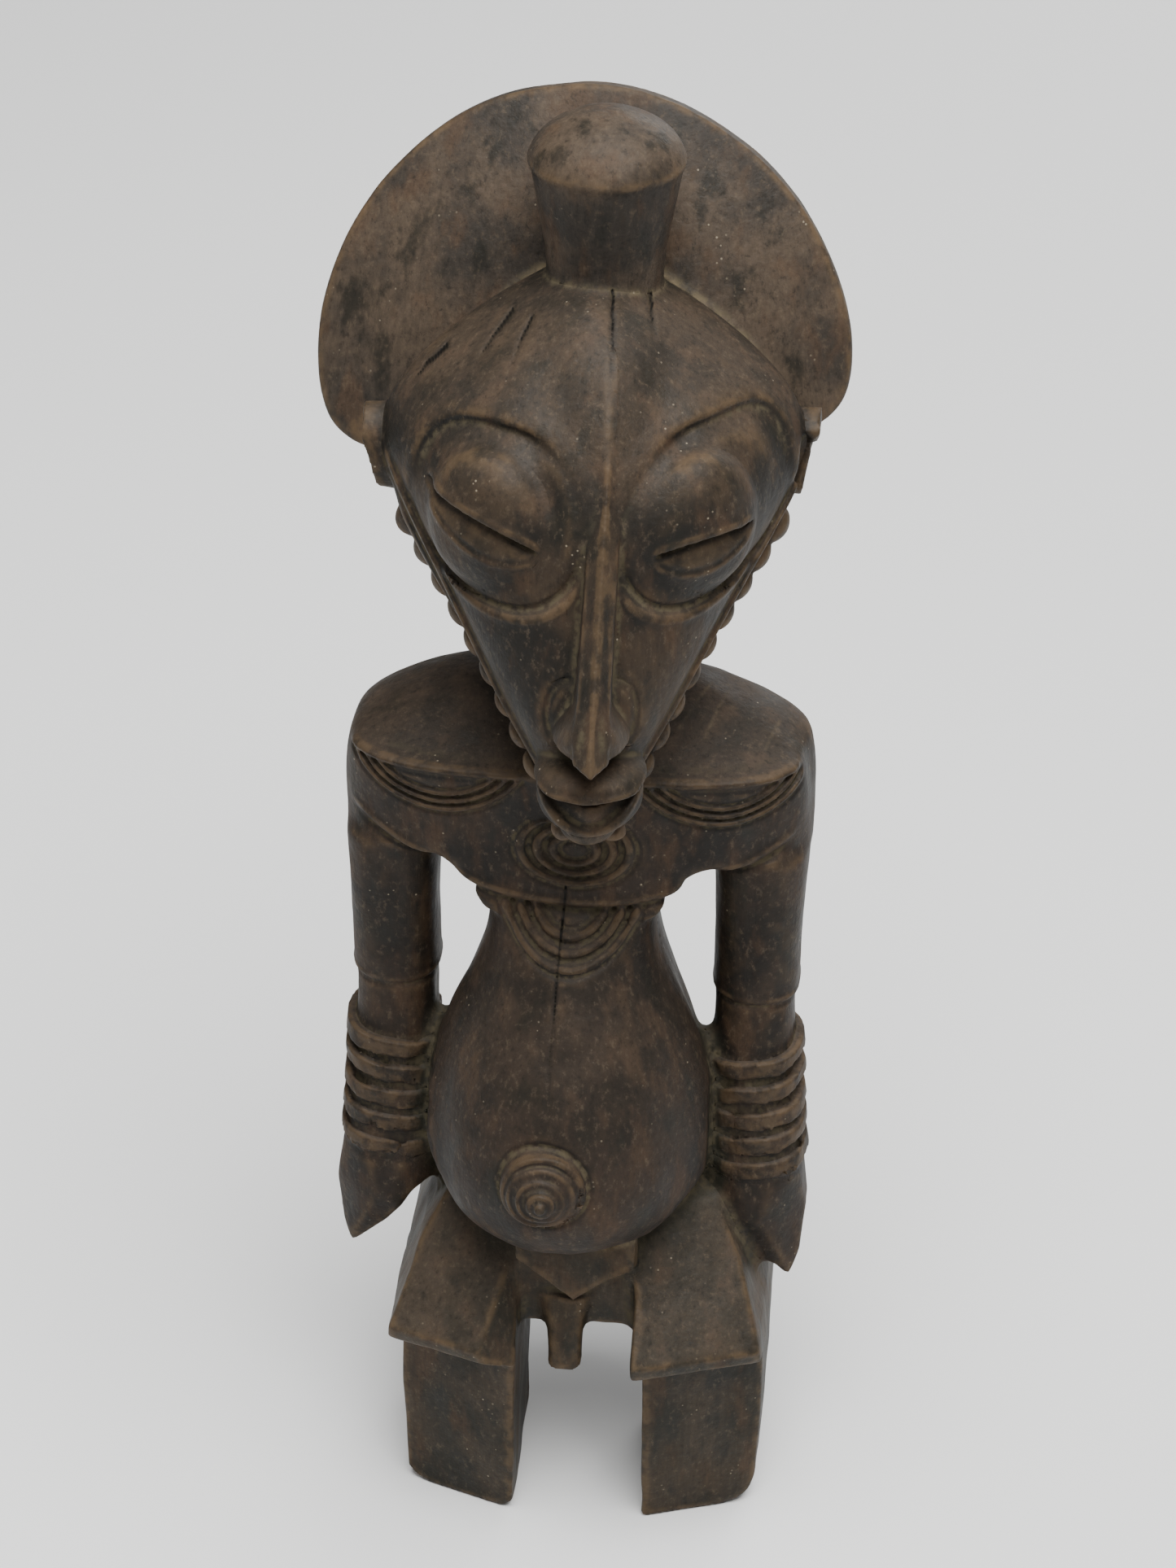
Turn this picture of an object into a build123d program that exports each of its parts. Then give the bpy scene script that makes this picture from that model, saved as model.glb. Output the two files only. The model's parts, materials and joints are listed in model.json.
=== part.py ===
"""Standing male figure carved from one block of dark hardwood, laid out as a carver would: every
named zone of the carving is a closed solid of its own, and neighbouring zones meet face to face.

Millimetres, +Z up. The figure looks along -Y and its left hand is at +X. The numbers are written
with X = 0 on the middle of the chest and Z = 0 under the feet; the last step moves the origin to the
middle of the bounding box, on the floor."""

from build123d import *
import os
from math import cos, pi, sin

# ---------------------------------------------------------------- driving dimensions
HEIGHT = 441.0          # floor to the top of the hair knot
COLLAR = 256.0          # height of the sharp collar ridge, where the shoulder tops begin
CHEST_FLOOR = 208.0     # the chest ends here and the belly begins
ARM_TOP = 224.0         # the arms hang from the shoulders here
ELBOW = 174.0
WRIST = 113.0
HIP = 99.0              # the trunk ends here and the hips begin
KNEE = 62.0             # the shin ends here, under the thigh's overhanging lip
SHOULDER_HALF = 67.0
BELLY_BACK = -12.0      # plane between the belly and the trunk behind it
FLANK = 41.0            # plane between the belly or trunk and each forearm

LEGS_X = 4.5            # hips and legs stand a little to the figure's left
LEG_GAP_HALF = 17.5
LEG_HALF = 55.0
LEG_AXIS = (36.5, -12.0)
TOE_OUT = 19.5

HEAD_X, HEAD_YAW = 2.4, 5.0
CREST_AT, CREST_LEAN, CREST_ROLL = (-2.0, 4.0, 360.0), 15.0, 5.5
CREST_BOW, CREST_THICK = 190.0, 11.0
KNOT_AT, KNOT_BASE, KNOT_FOOT, KNOT_RIM = (4.7, 4.0), 391.0, 15.2, 21.2

RING_COUNT, RING_PITCH, RING_THICK, RING_PROUD, RING_ROOM = 5, 8.6, 5.2, 1.8, 0.05
SCALLOPS = 11
REACH = 500.0           # longer than anything it cuts


# ---------------------------------------------------------------- helpers
def oval(z, middle, half, front, back, square=2.0, points=16):
    """A flat closed curve at height z around middle (x, y): half wide each way, front deep towards
    -Y and back deep towards +Y. square is 2 for an ellipse and more for a squarer outline."""
    corners = []
    for k in range(points):
        c, s = cos(2 * pi * k / points), sin(2 * pi * k / points)
        deep = back if s > 0 else front
        across = half * abs(c) ** (2 / square) * (1 if c > 0 else -1)
        along = deep * abs(s) ** (2 / square) * (1 if s > 0 else -1)
        corners.append((middle[0] + across, middle[1] + along))
    return Plane.XY.offset(z) * make_face(Spline(*corners, periodic=True))


def stacked(*sections):
    """A smooth solid through ovals, from the lowest to the highest."""
    return loft([oval(*section) for section in sections])


def through(plane, face):
    """An outline on a plane, cut straight through the block both ways."""
    return extrude(plane * face, amount=REACH, both=True)


def polygon(*corners):
    return make_face(Polyline(*corners, close=True))


def curve(*corners):
    return make_face(Spline(*corners, periodic=True))


def symmetric(half):
    """The corners of an outline that is its own mirror image in X, from its right-hand half."""
    return half + [(-x, y) for x, y in reversed(half) if abs(x) > 1e-6]


def slab(low, high):
    """A box between two corners."""
    size = [b - a for a, b in zip(low, high)]
    return Pos(*[(a + b) / 2 for a, b in zip(low, high)]) * Box(*size)


def above(z):
    return slab((-REACH, -REACH, z), (REACH, REACH, REACH))


def below(z):
    return slab((-REACH, -REACH, -REACH), (REACH, REACH, z))


def egg(radii, at, turn=(0, 0, 0)):
    """An ellipsoid at a place, turned about its own middle."""
    return Pos(*at) * Rot(*turn) * scale(Sphere(1), by=radii)


def pair(name, left):
    """A left-hand shape and its mirror image, as two named parts."""
    return {"left_" + name: left, "right_" + name: mirror(left, about=Plane.YZ)}


def moved(location, shapes):
    return {name: location * shape for name, shape in shapes.items()}


# ---------------------------------------------------------------- trunk
def shoulders():
    """Chest and shoulders in one yoke: an arched V below, a sharp collar ridge, rounded tops."""
    chest = stacked((200, (0, 0), 66, 27, 27, 2.0), (222, (0, 0), SHOULDER_HALF, 28, 28, 2.2),
                    (240, (0, 0), SHOULDER_HALF, 27.5, 29, 2.8), (COLLAR, (0, 0), 64.5, 30.5, 27, 3.4))
    tops = stacked((COLLAR, (0, 0), 64.5, 30.5, 27, 3.4), (263, (0, 2), 55, 19.5, 23.5, 2.8),
                   (269, (0, 4), 40, 10, 18, 2.5), (272.5, (0, 5), 25, 4, 12, 2.2))
    arch = polygon((-90, ARM_TOP), (-38, ARM_TOP), (-32, 221), (-24.5, CHEST_FLOOR), (24.5, CHEST_FLOOR),
                   (32, 221), (38, ARM_TOP), (90, ARM_TOP), (90, 300), (-90, 300))
    return (chest + tops) & through(Plane.XZ, arch)


def belly():
    """The egg of the belly, flat where it joins the trunk and the forearms."""
    rows = [(103, 22, 30), (107, 31, 39.5), (114, 38, 47.5), (124, 41.6, 52), (136, 42.2, 52.8),
            (150, 40.2, 49.4), (166, 36.0, 43.2), (182, 29.3, 34.2), (194, 24.9, 27.2),
            (203, 24.2, 22.2), (CHEST_FLOOR, 24.5, 19.5)]
    body = stacked(*[(z, (0, BELLY_BACK), half, front, 12, 2.1) for z, half, front in rows])
    return body & slab((-FLANK, -REACH, 0), (FLANK, BELLY_BACK, HEIGHT))


def trunk():
    """Loins and back, from the chest down to the hips."""
    rows = [(HIP, 41.5, 47), (112, 40.5, 43), (130, 39, 37), (150, 38, 32), (170, 33.0, 30),
            (190, 26.0, 32), (CHEST_FLOOR, 24.5, 36)]
    body = stacked(*[(z, (0, BELLY_BACK), half, 12, deep, 2.5) for z, half, deep in rows])
    return body & slab((-FLANK, BELLY_BACK, 0), (FLANK, REACH, HEIGHT))


def navel():
    """A stepped cone on the belly, a little to the figure's right."""
    rings = [(13.4, 2.0), (10.8, 2.2), (8.0, 2.4), (5.2, 2.6), (2.7, 1.8)]
    root, reach = 4.0, 0.0
    steps = []
    for radius, rise in rings:
        steps.append(Pos(0, 0, reach + (rise - root) / 2) * Cone(radius, radius - 1.2, rise + root))
        reach += rise
    return Pos(-3.4, -62.8, 138) * Rot(87, 0, 0) * (Part() + steps)


# ---------------------------------------------------------------- arms
def upper_arm():
    return stacked((ELBOW, (52.6, -1.5), 12.6, 13.5, 14.5, 2.6), (187, (52.8, -2), 12.7, 14, 14.5, 2.6),
                   (204, (53, -2.5), 13, 14.5, 14.5, 2.6), (ARM_TOP, (52.8, -3), 13.8, 15.5, 15.5, 2.6))


def forearm(room=0.0):
    """room makes it that much thicker all round."""
    rows = [(WRIST, (55.5, -7.5), 13.6, 13), (130, (53.8, -6.5), 13.2, 12.7),
            (150, (52.6, -4.5), 12.4, 12.7), (ELBOW, (52.6, -2), 11.6, 13)]
    sections = [(z, middle, half + room, deep + room, deep + room, 2.5) for z, middle, half, deep in rows]
    arm = stacked(*sections)
    return arm & slab((FLANK, -REACH, 0), (REACH, REACH, HEIGHT))


def bracelets():
    """Five carved rings round the forearm, tipped up towards its outer side."""
    arm_room = forearm(RING_ROOM)
    outside = slab((FLANK + RING_ROOM, -REACH, WRIST + RING_ROOM), (REACH, REACH, HEIGHT))
    rings = []
    for k in range(RING_COUNT):
        z = 119 + RING_PITCH * k
        middle = (55.3 - 0.065 * (z - WRIST), -7.2 + 0.07 * (z - WRIST))
        disc = oval(-RING_THICK / 2, (0, 0), 13.2 + RING_PROUD, 12.8 + RING_PROUD, 12.8 + RING_PROUD, 2.4)
        ring = Pos(*middle, z) * Rot(5, -7, 0) * extrude(disc, amount=RING_THICK)
        rings += ((ring & outside) - arm_room).solids()
    return Compound(children=rings)


def hand(tip):
    """A mitten-shaped blade that points down and a little outwards, its root against the hip."""
    front = polygon((FLANK, WRIST), (69, WRIST), (70.8, 99), (69.3, tip + 9), (66.6, tip), (64.3, tip + 2.5),
                    (54.5, 90), (47, 101), (FLANK, 104))
    side = polygon((-21, WRIST), (6, WRIST), (4, 100), (-3, tip + 10), (-8, tip - 2), (-15, tip - 2),
                   (-20, tip + 15), (-22, 100))
    top = curve((FLANK - 3, -7), (44, -17), (56, -22), (67, -16), (72, -8), (68, 2), (56, 6.5), (44, 3))
    return through(Plane.XZ, front) & through(Plane.YZ, side) & through(Plane.XY, top)


# ---------------------------------------------------------------- hips and legs
def leg():
    """One leg, turned out at the toe: steep thigh, overhanging knee lip, straight shin, calf."""
    side = polygon((-24.5, 0), (-29.5, KNEE), (-38, 66), (-39.5, 71), (-9, 107), (8, 112), (30, 106),
                   (41, 92), (43, 76), (36, 60), (25, 44), (21, 22), (24, 0))
    turned = Pos(*LEG_AXIS) * Rot(0, 0, TOE_OUT) * through(Plane.YZ, side)
    front = polygon((LEG_GAP_HALF + 4, 0), (LEG_HALF - 10, 0), (LEG_HALF - 5, 1.6), (LEG_HALF - 1.6, 5),
                    (LEG_HALF, 10), (LEG_HALF + 1, 30), (LEG_HALF + 1.5, KNEE),
                    (LEG_HALF + 0.5, 71), (LEG_HALF - 7, 92), (40, 106), (36, 112), (LEG_GAP_HALF, 112),
                    (LEG_GAP_HALF, KNEE), (LEG_GAP_HALF + 1, 3))
    return turned & through(Plane.XZ, front)


def inner_bevel():
    """The wedge that is pared off the inner edge of the figure's right thigh, wider towards the knee."""
    top = Pos(-LEG_GAP_HALF, -33.7, 101) * Rot(-24.3, 0, 0)
    return top * extrude(polygon((0, 0), (-20, -17), (8, -35)), amount=-60)


def hip_room():
    """The space that the hips may fill: up to the trunk behind, up under the belly in front."""
    behind = slab((-REACH, BELLY_BACK, 0), (REACH, REACH, HIP))
    return behind + slab((-REACH, -REACH, 0), (REACH, BELLY_BACK, 112))


def loin_block():
    """The crotch block between the thighs."""
    side = polygon((-40, 72), (-42, 108), (0, 112), (34, HIP), (38, 84), (30, 72), (8, 66), (-20, 66))
    return through(Plane.YZ, side) & slab((-LEG_GAP_HALF, -REACH, 60), (LEG_GAP_HALF, REACH, 112))


def loin_apron():
    """A small pointed apron on the front of the crotch block, under the belly."""
    face = polygon((-LEG_GAP_HALF, 110), (LEG_GAP_HALF, 110), (LEG_GAP_HALF, 97), (9, 92.5), (-0.5, 84.5),
                   (-LEG_GAP_HALF, 99))
    return through(Plane.XZ, face) & slab((-REACH, -45, 0), (REACH, -40, HEIGHT))


def loin_peg():
    return stacked((58, (-3, -40), 5, 5, 4, 3.0), (70, (-3, -39), 5.4, 5.5, 5, 3.0),
                   (83, (-3, -37), 8, 6, 5, 2.5))


# ---------------------------------------------------------------- head, in its own frame
def head_block():
    """Dome and face in one: a shield, widest at the ears, that narrows to the chin."""
    rows = [(258, 6.5, -60, 7), (272, 12.5, -51, 19.5), (290, 23.5, -39, 31.5), (312, 37.0, -24, 43),
            (334, 50.5, -8, 54), (350, 56.0, -2, 57), (366, 51.0, 0, 53), (380, 37.0, 2, 44.5),
            (390, 21.5, 3, 33), (396.5, 7, 3, 15)]
    sections = [(z, (0, y), half, front, 12 + max(0, z - 360) / 10, 1.9) for z, half, y, front in rows]
    block = stacked(*sections)
    under_jaw = polygon((-80, 232), (-58, 262), (-2, 337), (20, 367), (120, 367), (120, 200), (-80, 200))
    return block - through(Plane.YZ, under_jaw)


def eye():
    """One of the two great closed eyes: a full egg let into its socket."""
    return egg((21, 14, 24.5), (24.5, -42.5, 343), (12, 0, 33))


def nose():
    """A narrow blade of a nose that runs up into the ridge of the forehead, with flared wings."""
    ridge = polygon((-42, 388), (-52, 372), (-62, 350), (-76, 322), (-90.5, 298), (-88, 294.5), (-72, 291),
                    (-58, 291), (-34, 388))
    front = polygon(*symmetric([(2.4, 388), (3.0, 340), (5.2, 305), (5.5, 290)]))
    wings = polygon(*symmetric([(5, 310), (12, 304), (13, 297), (9.5, 292)]))
    flare = polygon((-84, 296), (-80, 305), (-71, 309), (-56, 302), (-56, 291), (-78, 291))
    blade = through(Plane.YZ, ridge) & through(Plane.XZ, front)
    return blade + (through(Plane.YZ, flare) & through(Plane.XZ, wings))


def lips():
    """Upper and lower lip, parted by a flat plane."""
    parting = 279.0
    upper = egg((15, 12, 5.5), (0, -70, 283.0), (12, 0, 0)) & above(parting)
    lower = egg((13.5, 12, 8), (0, -68, 275.5), (8, 0, 0)) & below(parting)
    return {"upper_lip": upper, "lower_lip": lower}


def beard():
    """A row of scallops along one side of the jaw, from under the ear to the chin."""
    start, end, bow = Vector(49.0, -8, 326), Vector(6.5, -57, 258), Vector(-2.5, 2, 0)
    lobes = []
    for k in range(SCALLOPS):
        t = k / (SCALLOPS - 1)
        middle = start + (end - start) * t + bow * sin(pi * t)
        lobes.append(Pos(*middle) * Sphere(5.0 - 1.0 * t))
    return Part() + lobes


def ear():
    """A small plate on the temple with a lens-shaped hollow in it."""
    plate = curve((-1, 334), (-9, 337), (-12, 347), (-9, 356), (-2, 358.5), (2, 352), (1, 342))
    hollow = curve((-4, 340), (-8, 345), (-7, 351), (-3, 353.5), (-2.5, 346))
    lug = extrude(Plane.YZ.offset(48) * plate, amount=14)
    return lug - extrude(Plane.YZ.offset(59) * hollow, amount=5)


# ---------------------------------------------------------------- hair and neck
def hair_knot():
    """A drum that widens upwards, under an overhanging domed cap, in front of the crest."""
    eaves = HEIGHT - 13.5
    outline = Polyline((0, HEIGHT), (0, KNOT_BASE), (KNOT_FOOT, KNOT_BASE), (KNOT_FOOT + 1.2, 404),
                       (KNOT_RIM - 1, eaves - 2), (KNOT_RIM, eaves))
    dome = Spline((KNOT_RIM, eaves), (16, 435.5), (8, 439.8), (0, HEIGHT), tangents=((-0.25, 1), (-1, 0)))
    return Pos(*KNOT_AT, 0) * revolve(Plane.XZ * make_face(outline + dome), Axis.Z)


def crest():
    """The great round plate of hair behind the head: bowed forwards, with a lobe behind each ear."""
    rim = symmetric([(0, 79.5), (20, 76.8), (38, 68), (55, 53), (67, 34), (73, 14), (73.5, 0), (70.5, -10),
                     (64, -15.5), (55, -18), (36, -26), (18, -30), (0, -31)])
    plate = extrude(curve(*rim), amount=60, both=True)
    plate = plate & Pos(0, 0, -CREST_BOW) * Sphere(CREST_BOW)
    plate = plate - Pos(0, 0, -CREST_THICK - 230) * Sphere(230)
    return Pos(*CREST_AT) * Rot(90 - CREST_LEAN, 0, 0) * Rot(0, 0, CREST_ROLL) * plate


def neck():
    return stacked((257, (0, 5), 24, 20, 21), (272, (1, 5), 19, 17, 18), (290, (2, 5), 17.5, 16.5, 17.5),
                   (318, (HEAD_X, 6), 18, 17, 18), (340, (HEAD_X, 8), 20, 17, 20),
                   (352, (HEAD_X, 8), 17, 14, 17))


# ---------------------------------------------------------------- assembly
def cut(shape, *tools):
    for tool in tools:
        shape = shape - tool
    return shape


def body_parts():
    parts = {"shoulders": shoulders(), "belly": belly(), "trunk": trunk()}
    parts["navel"] = cut(navel(), parts["belly"])
    parts |= pair("upper_arm", upper_arm()) | pair("forearm", forearm()) | pair("bracelets", bracelets())
    parts["left_hand"] = hand(75)
    parts["right_hand"] = mirror(hand(76), about=Plane.YZ)
    return parts


def hip_parts(body):
    whole = leg() & hip_room()
    hips = pair("thigh", whole & above(KNEE)) | pair("shin", whole & below(KNEE))
    hips["right_thigh"] = hips["right_thigh"] - inner_bevel()
    hips["right_shin"] = hips["right_shin"] & slab((-LEG_HALF + 2.5, -REACH, 0), (0, REACH, KNEE))
    hips["left_shin"] = hips["left_shin"] & slab((LEG_GAP_HALF + 3, -REACH, 0), (REACH, REACH, KNEE))
    block = loin_block() & hip_room()
    hips |= {"loin_block": block, "loin_apron": cut(loin_apron(), block), "loin_peg": cut(loin_peg(), block)}
    hips = moved(Pos(LEGS_X, 0, 0), hips)
    for name in ("left_thigh", "right_thigh", "loin_block", "loin_apron"):
        hips[name] = cut(hips[name], body["belly"], body["left_hand"], body["right_hand"])
    return hips


def head_parts(body):
    """The head stands turned a little to the figure's left, so all of it is turned at once."""
    face = head_block()
    own = pair("eye", eye()) | lips() | pair("ear", ear()) | pair("beard", beard())
    own["nose"] = nose()
    own = moved(Pos(HEAD_X, 0, 0) * Rot(0, 0, HEAD_YAW), own | {"head": face})
    hair = {"crest": crest(), "hair_knot": hair_knot()}
    hair["hair_knot"] = cut(hair["hair_knot"], hair["crest"])
    knot_seat = Pos(*KNOT_AT, KNOT_BASE + 10) * Cylinder(KNOT_FOOT + 0.6, 20)
    own["head"] = cut(own["head"], hair["crest"], knot_seat, own["left_eye"], own["right_eye"])
    own["nose"] = cut(own["nose"], own["head"], own["left_eye"], own["right_eye"])
    own["upper_lip"] = cut(own["upper_lip"], own["head"], own["nose"])
    own["lower_lip"] = cut(own["lower_lip"], own["head"])
    for side in ("left_", "right_"):
        own[side + "ear"] = cut(own[side + "ear"], own["head"])
        own[side + "beard"] = cut(own[side + "beard"], own["head"])
    own["neck"] = cut(neck(), own["head"], hair["crest"], body["shoulders"])
    return own | hair


def main():
    parts = body_parts()
    parts |= hip_parts(parts)
    parts |= head_parts(parts)
    boxes = [shape.bounding_box() for shape in parts.values()]
    middle_x = (min(box.min.X for box in boxes) + max(box.max.X for box in boxes)) / 2
    middle_y = (min(box.min.Y for box in boxes) + max(box.max.Y for box in boxes)) / 2
    return moved(Pos(-middle_x, -middle_y, -min(box.min.Z for box in boxes)), parts)


if __name__ == "__main__":
    os.makedirs("parts", exist_ok=True)
    for name, solid in main().items():
        export_step(solid, "parts/" + name + ".step")
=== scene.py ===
import json
import math

import bpy
import mathutils
import numpy as np
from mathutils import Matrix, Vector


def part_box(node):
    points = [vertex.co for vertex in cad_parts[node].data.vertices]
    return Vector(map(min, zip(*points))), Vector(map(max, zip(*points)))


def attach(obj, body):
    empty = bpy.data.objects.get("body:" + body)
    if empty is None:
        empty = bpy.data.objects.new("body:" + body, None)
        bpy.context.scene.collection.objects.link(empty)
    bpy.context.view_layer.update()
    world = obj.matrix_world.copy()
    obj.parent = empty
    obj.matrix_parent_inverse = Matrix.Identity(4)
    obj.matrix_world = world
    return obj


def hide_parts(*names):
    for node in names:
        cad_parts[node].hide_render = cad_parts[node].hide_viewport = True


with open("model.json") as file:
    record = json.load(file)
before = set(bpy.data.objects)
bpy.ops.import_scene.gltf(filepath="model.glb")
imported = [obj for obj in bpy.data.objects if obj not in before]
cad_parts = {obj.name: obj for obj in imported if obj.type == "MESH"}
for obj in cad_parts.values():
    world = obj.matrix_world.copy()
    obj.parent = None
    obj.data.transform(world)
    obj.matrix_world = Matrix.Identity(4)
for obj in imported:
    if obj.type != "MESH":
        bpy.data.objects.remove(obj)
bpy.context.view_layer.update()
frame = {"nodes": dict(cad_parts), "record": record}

import openvdb as vdb

# The figure is carved as one field of distances to its surface, in millimetres, and then cut into one
# closed mesh for each CAD node. "Drawing" coordinates are the CAD frame with x = 0 on the middle of
# the chest and y = 0 on the shoulders' axis, as the CAD part is drawn.

VOXEL = 0.65     # mm between samples
BAND = 8                                # voxels of distance kept on each side of a surface
FAR = BAND * VOXEL
SKIN = 3.2                              # mm on each side of the surface that the details may change
FILLET = 2.4                            # mm, radius of the inside corners between the big forms
SOFTEN = 1.5                            # mm, how far blows and handling rounded the big forms
HEAD_X, HEAD_YAW = 2.4, 5.0
PARTS = sorted(frame["nodes"])
BEARDS = ["left_beard", "right_beard"]
LOIN_TRIM = ["loin_apron", "loin_peg"]
TRIM = ["navel", "left_bracelets", "right_bracelets", "left_ear", "right_ear"]
REMADE = ["nose", "upper_lip", "lower_lip"]     # carved anew on the face, within their CAD nodes' room


# ---------------------------------------------------------------- frame
def box_mm(node):
    low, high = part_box(node)
    return np.array(low) * 1000, np.array(high) * 1000


def drawing_origin():
    chest_low, chest_high = box_mm("shoulders")
    return np.array([(chest_low[0] + chest_high[0]) / 2, box_mm("trunk")[0][1] + 12, 0])


ORIGIN = drawing_origin()
TRANSFORM = vdb.createLinearTransform(voxelSize=VOXEL)


# ---------------------------------------------------------------- fields
def node_mesh(node):
    """Points in mm and triangles of a CAD node, with its coinciding points joined."""
    mesh = frame["nodes"][node].data
    mesh.calc_loop_triangles()
    points = np.empty(len(mesh.vertices) * 3, np.float32)
    mesh.vertices.foreach_get("co", points)
    corners = np.empty(len(mesh.loop_triangles) * 3, np.int32)
    mesh.loop_triangles.foreach_get("vertices", corners)
    points = points.reshape(-1, 3) * 1000
    _, first, same = np.unique(np.round(points, 3), axis=0, return_index=True, return_inverse=True)
    return points[first], same.reshape(-1)[corners].reshape(-1, 3).astype(np.uint32)


def sampled(grid, low, shape):
    block = np.empty(shape, np.float32)
    grid.copyToArray(block, ijk=tuple(int(i) for i in low))
    return block


def node_distance(node):
    """First sample's index and signed distances for one CAD node."""
    points, triangles = node_mesh(node)
    grid = vdb.FloatGrid.createLevelSetFromPolygons(points, triangles=triangles, transform=TRANSFORM,
                                                    halfWidth=BAND)
    low = np.floor(points.min(0) / VOXEL).astype(int) - BAND - 2
    high = np.ceil(points.max(0) / VOXEL).astype(int) + BAND + 3
    return low, sampled(grid, low, high - low)


def surface(block, low, level=0.0):
    """Points in mm and quads of the surface where the block has that value."""
    grid = vdb.FloatGrid(FAR)
    grid.transform = TRANSFORM
    grid.copyFromArray(block, ijk=tuple(int(i) for i in low), tolerance=1e-3)
    return grid.convertToQuads(isovalue=level)


def redistanced(block, low, level):
    """Signed distances to the surface where the block has that value."""
    points, quads = surface(block, low, level)
    grid = vdb.FloatGrid.createLevelSetFromPolygons(points, quads=quads, transform=TRANSFORM,
                                                    halfWidth=BAND)
    return sampled(grid, low, block.shape)


def blurred_cells(block, reach):
    """A box average over reach cells on each side along each axis."""
    for axis in range(3):
        total = np.cumsum(block, axis, dtype=np.float64)
        total = np.concatenate([np.repeat(np.take(total, [0], axis) * 0, reach + 1, axis), total,
                                np.repeat(np.take(total, [-1], axis), reach, axis)], axis)
        count = block.shape[axis]
        ahead = np.take(total, range(2 * reach + 1, 2 * reach + 1 + count), axis)
        behind = np.take(total, range(count), axis)
        block = ((ahead - behind) / (2 * reach + 1)).astype(np.float32)
    return block


def blurred(block, radius):
    """Two box averages along each axis."""
    reach = max(1, round(radius / VOXEL))
    return blurred_cells(blurred_cells(block, reach), reach)


def joined(a, b, blend):
    """Smooth union of two distances."""
    share = np.clip(0.5 + 0.5 * (b - a) / blend, 0, 1)
    return b + (a - b) * share - blend * share * (1 - share)


def bump(distance, width):
    """1 on a line and nearly 0 at one and a half widths from it."""
    return np.exp(-(distance / width) ** 2)


def ramp(value, start, end):
    """0 up to start, 1 from end on, smooth between."""
    t = np.clip((value - start) / (end - start), 0, 1)
    return t * t * (3 - 2 * t)


class Noise:
    """Smooth value noise on a lattice that repeats every 32 cells."""

    def __init__(self, seed):
        self.lattice = np.random.default_rng(seed).uniform(-1, 1, (32, 32, 32)).astype(np.float32)

    def __call__(self, x, y, z, size):
        cell, part = [], []
        for value in (x, y, z):
            scaled = value / size + 1000
            whole = np.floor(scaled)
            cell.append(whole.astype(np.int32) % 32)
            part.append(ramp(scaled - whole, 0, 1))
        total = 0
        for corner in range(8):
            bits = [(corner >> axis) & 1 for axis in range(3)]
            weight = 1
            for bit, share in zip(bits, part):
                weight = weight * (share if bit else 1 - share)
            total = total + weight * self.lattice[tuple((c + b) % 32 for c, b in zip(cell, bits))]
        return total


# ---------------------------------------------------------------- big forms
class Figure:
    """The whole carving's field, and which CAD node owns each sample of it."""

    def __init__(self):
        self.distance = {node: node_distance(node) for node in PARTS}
        lows = [low for low, _ in self.distance.values()]
        highs = [low + block.shape for low, block in self.distance.values()]
        self.low = np.min(lows, 0)
        self.shape = tuple(np.max(highs, 0) - self.low)
        self.nearest = np.full(self.shape, FAR, np.float32)
        self.rival = np.full(self.shape, FAR, np.float32)
        self.owner = np.zeros(self.shape, np.int8)
        self.claim = {node: self.claimed(node) for node in PARTS}
        for index, node in enumerate(PARTS):
            room, block = self.room(node), self.claim[node]
            nearest = self.nearest[room]
            self.rival[room] = np.minimum(self.rival[room], np.maximum(nearest, block))
            self.owner[room] = np.where(block < nearest, index, self.owner[room])
            self.nearest[room] = np.minimum(nearest, block)
        self.field = self.big_forms()

    def claimed(self, node):
        """Distances that settle which piece a sample goes to: a remade one reaches into the face."""
        block = self.distance[node][1]
        if node not in REMADE:
            return block
        deeper = [np.roll(block, shift, axis=1) for shift in (0, 2, 4, 6)]
        return np.minimum.reduce(deeper) - 2.5

    def room(self, node):
        """Where a node's own block lies in the figure's arrays."""
        low, block = self.distance[node]
        start = low - self.low
        return tuple(slice(s, s + n) for s, n in zip(start, block.shape))

    def axes(self):
        """Drawing coordinates of the samples along each axis."""
        return [(self.low[a] + np.arange(self.shape[a])) * VOXEL - ORIGIN[a] for a in range(3)]

    def union(self, nodes):
        field = np.full(self.shape, FAR, np.float32)
        for node in nodes:
            room = self.room(node)
            field[room] = np.minimum(field[room], self.distance[node][1])
        return field

    def big_forms(self):
        core = self.union([node for node in PARTS if node not in TRIM + REMADE + BEARDS + LOIN_TRIM])
        crisp = redistanced(core, self.low, FILLET) + FILLET
        soft = blurred(crisp, SOFTEN)
        height = self.axes()[2][None, None, :]
        legs, face, knot = 1 - ramp(height, 96, 116), ramp(height, 300, 330), ramp(height, 398, 404)
        sharpness = np.clip(0.55 * legs + 0.6 * knot + 0.3 * face, 0, 0.8)
        field = soft + (crisp - soft) * sharpness
        field = joined(field, self.union(LOIN_TRIM), 2.5)
        field = joined(field, self.union(TRIM), 1.2)
        return joined(field, self.union(BEARDS) + 0.4, 1.4)


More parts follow.
